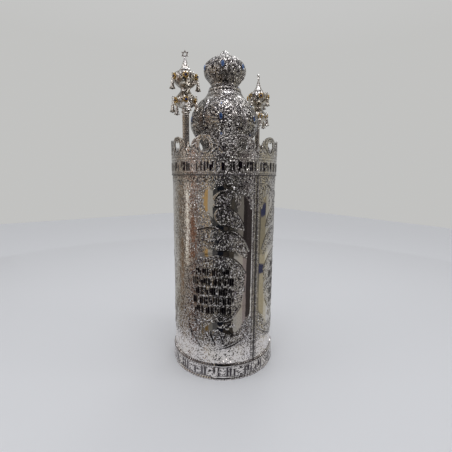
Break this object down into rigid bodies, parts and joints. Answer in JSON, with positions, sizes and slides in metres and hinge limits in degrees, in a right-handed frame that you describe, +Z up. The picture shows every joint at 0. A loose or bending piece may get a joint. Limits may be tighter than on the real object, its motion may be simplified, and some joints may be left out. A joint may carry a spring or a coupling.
{
  "type": "torah case",
  "caption": "Round hinged case for a scroll, silver, with a chased wall, pierced crest, lifting onion crown and a pair of finials hung with bells.",
  "frame": {"origin": "centre of the underside, on the case axis", "axes": "+Z up the case axis, -Y out of the opening seam at the front, +X toward the half that swings"},
  "size_m": [0.2824, 0.2707, 0.769],
  "materials": {
    "silver": "chased and matted silver, oxidised dark in the recesses, with polished reserves",
    "plain_silver": "plain brushed silver inside and below",
    "gold": "polished gilt settings",
    "light_stone": "light blue cut stones",
    "deep_stone": "deep blue cut stones"
  },
  "bodies": {
    "left_half": {"barrel_left": "silver", "floor_left": "plain_silver", "roof_left": "plain_silver", "foot_band_left": "silver", "crest_left": "silver", "hinge_leaf_left": "plain_silver", "finial_left": "silver", "bell_left_upper_1": "silver", "bell_left_upper_2": "silver", "bell_left_upper_3": "silver", "bell_left_upper_4": "silver", "bell_left_lower_1": "silver", "bell_left_lower_2": "silver", "bell_left_lower_3": "silver", "bell_left_lower_4": "silver", "hinge_pin": "plain_silver", "crown": "silver", "stone_bulb_1": "light_stone", "stone_bulb_2": "light_stone", "stone_bulb_3": "light_stone", "stone_bulb_4": "light_stone", "stone_bulb_5": "light_stone", "stone_bulb_6": "light_stone", "stone_dome_1": "deep_stone", "stone_dome_2": "deep_stone", "stone_dome_3": "deep_stone", "stone_dome_4": "deep_stone", "stone_dome_5": "deep_stone", "stone_dome_6": "deep_stone"},
    "right_half": {"barrel_right": "silver", "floor_right": "plain_silver", "roof_right": "plain_silver", "foot_band_right": "silver", "crest_right": "silver", "hinge_leaf_right": "plain_silver", "finial_right": "silver", "bell_right_upper_1": "silver", "bell_right_upper_2": "silver", "bell_right_upper_3": "silver", "bell_right_upper_4": "silver", "bell_right_lower_1": "silver", "bell_right_lower_2": "silver", "bell_right_lower_3": "silver", "bell_right_lower_4": "silver"}
  },
  "joints": [
    {"name": "back_hinge", "type": "hinge", "parent": "left_half", "child": "right_half", "pos_m": [0, 0.1354, 0], "axis": [0, 0, 1], "range_deg": [0, 160]}
  ]
}
